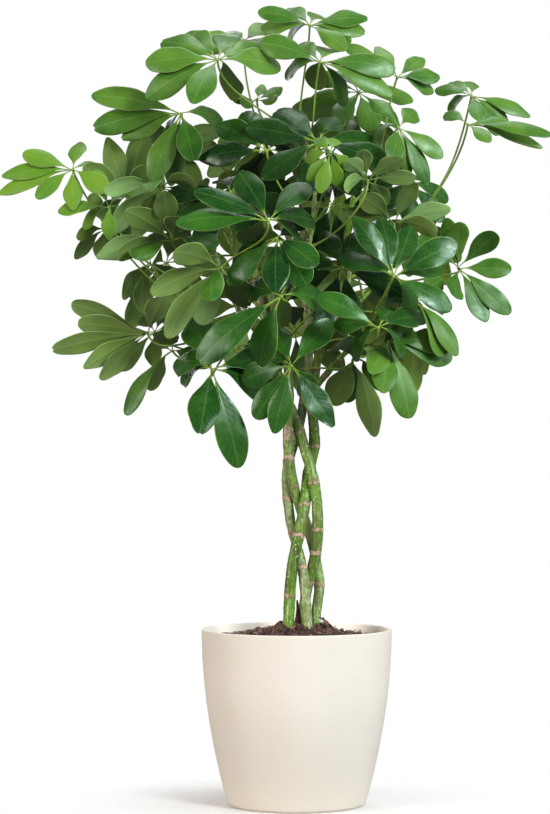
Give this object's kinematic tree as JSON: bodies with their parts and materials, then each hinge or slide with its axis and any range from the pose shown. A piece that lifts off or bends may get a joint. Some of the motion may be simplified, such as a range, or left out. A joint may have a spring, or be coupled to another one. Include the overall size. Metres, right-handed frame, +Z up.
{
  "type": "potted umbrella plant",
  "caption": "Dwarf umbrella plant with braided stems and a round crown of palmate leaves, in soil in a tapered round pot.",
  "frame": {"origin": "middle of the pot's flat underside", "axes": "+Z up the plant, +X to the viewer's right, and the side seen in the picture faces -Y"},
  "size_m": [0.5435, 0.3737, 0.8043],
  "materials": {
    "pot": "matte, finely flecked",
    "soil": "loose and damp",
    "stem": "smooth green bark with scars",
    "leaf_young": "satin",
    "leaf_mature": "satin",
    "leaf_dark": "glossy"
  },
  "bodies": {
    "root": {"pot": "pot", "soil": "soil", "stem_right": "stem", "stem_back": "stem", "stem_left": "stem", "stem_front": "stem", "leaf_01": "leaf_young", "leaf_02": "leaf_young", "leaf_03": "leaf_mature", "leaf_04": "leaf_mature", "leaf_05": "leaf_young", "leaf_06": "leaf_dark", "leaf_07": "leaf_dark", "leaf_08": "leaf_mature", "leaf_09": "leaf_mature", "leaf_10": "leaf_mature", "leaf_11": "leaf_mature", "leaf_12": "leaf_mature", "leaf_13": "leaf_mature", "leaf_14": "leaf_mature", "leaf_15": "leaf_young", "leaf_16": "leaf_mature", "leaf_17": "leaf_mature", "leaf_18": "leaf_mature", "leaf_19": "leaf_dark", "leaf_20": "leaf_mature", "leaf_21": "leaf_dark", "leaf_22": "leaf_mature", "leaf_23": "leaf_mature", "leaf_24": "leaf_dark", "leaf_25": "leaf_dark", "leaf_26": "leaf_mature", "leaf_27": "leaf_mature", "leaf_28": "leaf_mature", "leaf_29": "leaf_dark", "leaf_30": "leaf_dark", "leaf_31": "leaf_mature", "leaf_32": "leaf_mature", "leaf_33": "leaf_mature", "leaf_34": "leaf_mature", "leaf_35": "leaf_mature", "leaf_36": "leaf_mature", "leaf_37": "leaf_mature", "leaf_38": "leaf_dark", "leaf_39": "leaf_dark", "leaf_40": "leaf_dark", "leaf_41": "leaf_dark", "leaf_42": "leaf_dark", "leaf_43": "leaf_dark", "leaf_44": "leaf_dark", "leaf_45": "leaf_dark", "leaf_46": "leaf_dark", "leaf_47": "leaf_dark", "leaf_48": "leaf_dark", "leaf_49": "leaf_dark", "leaf_50": "leaf_dark", "leaf_51": "leaf_dark", "leaf_52": "leaf_mature", "leaf_53": "leaf_mature", "leaf_54": "leaf_mature"}
  },
  "joints": []
}
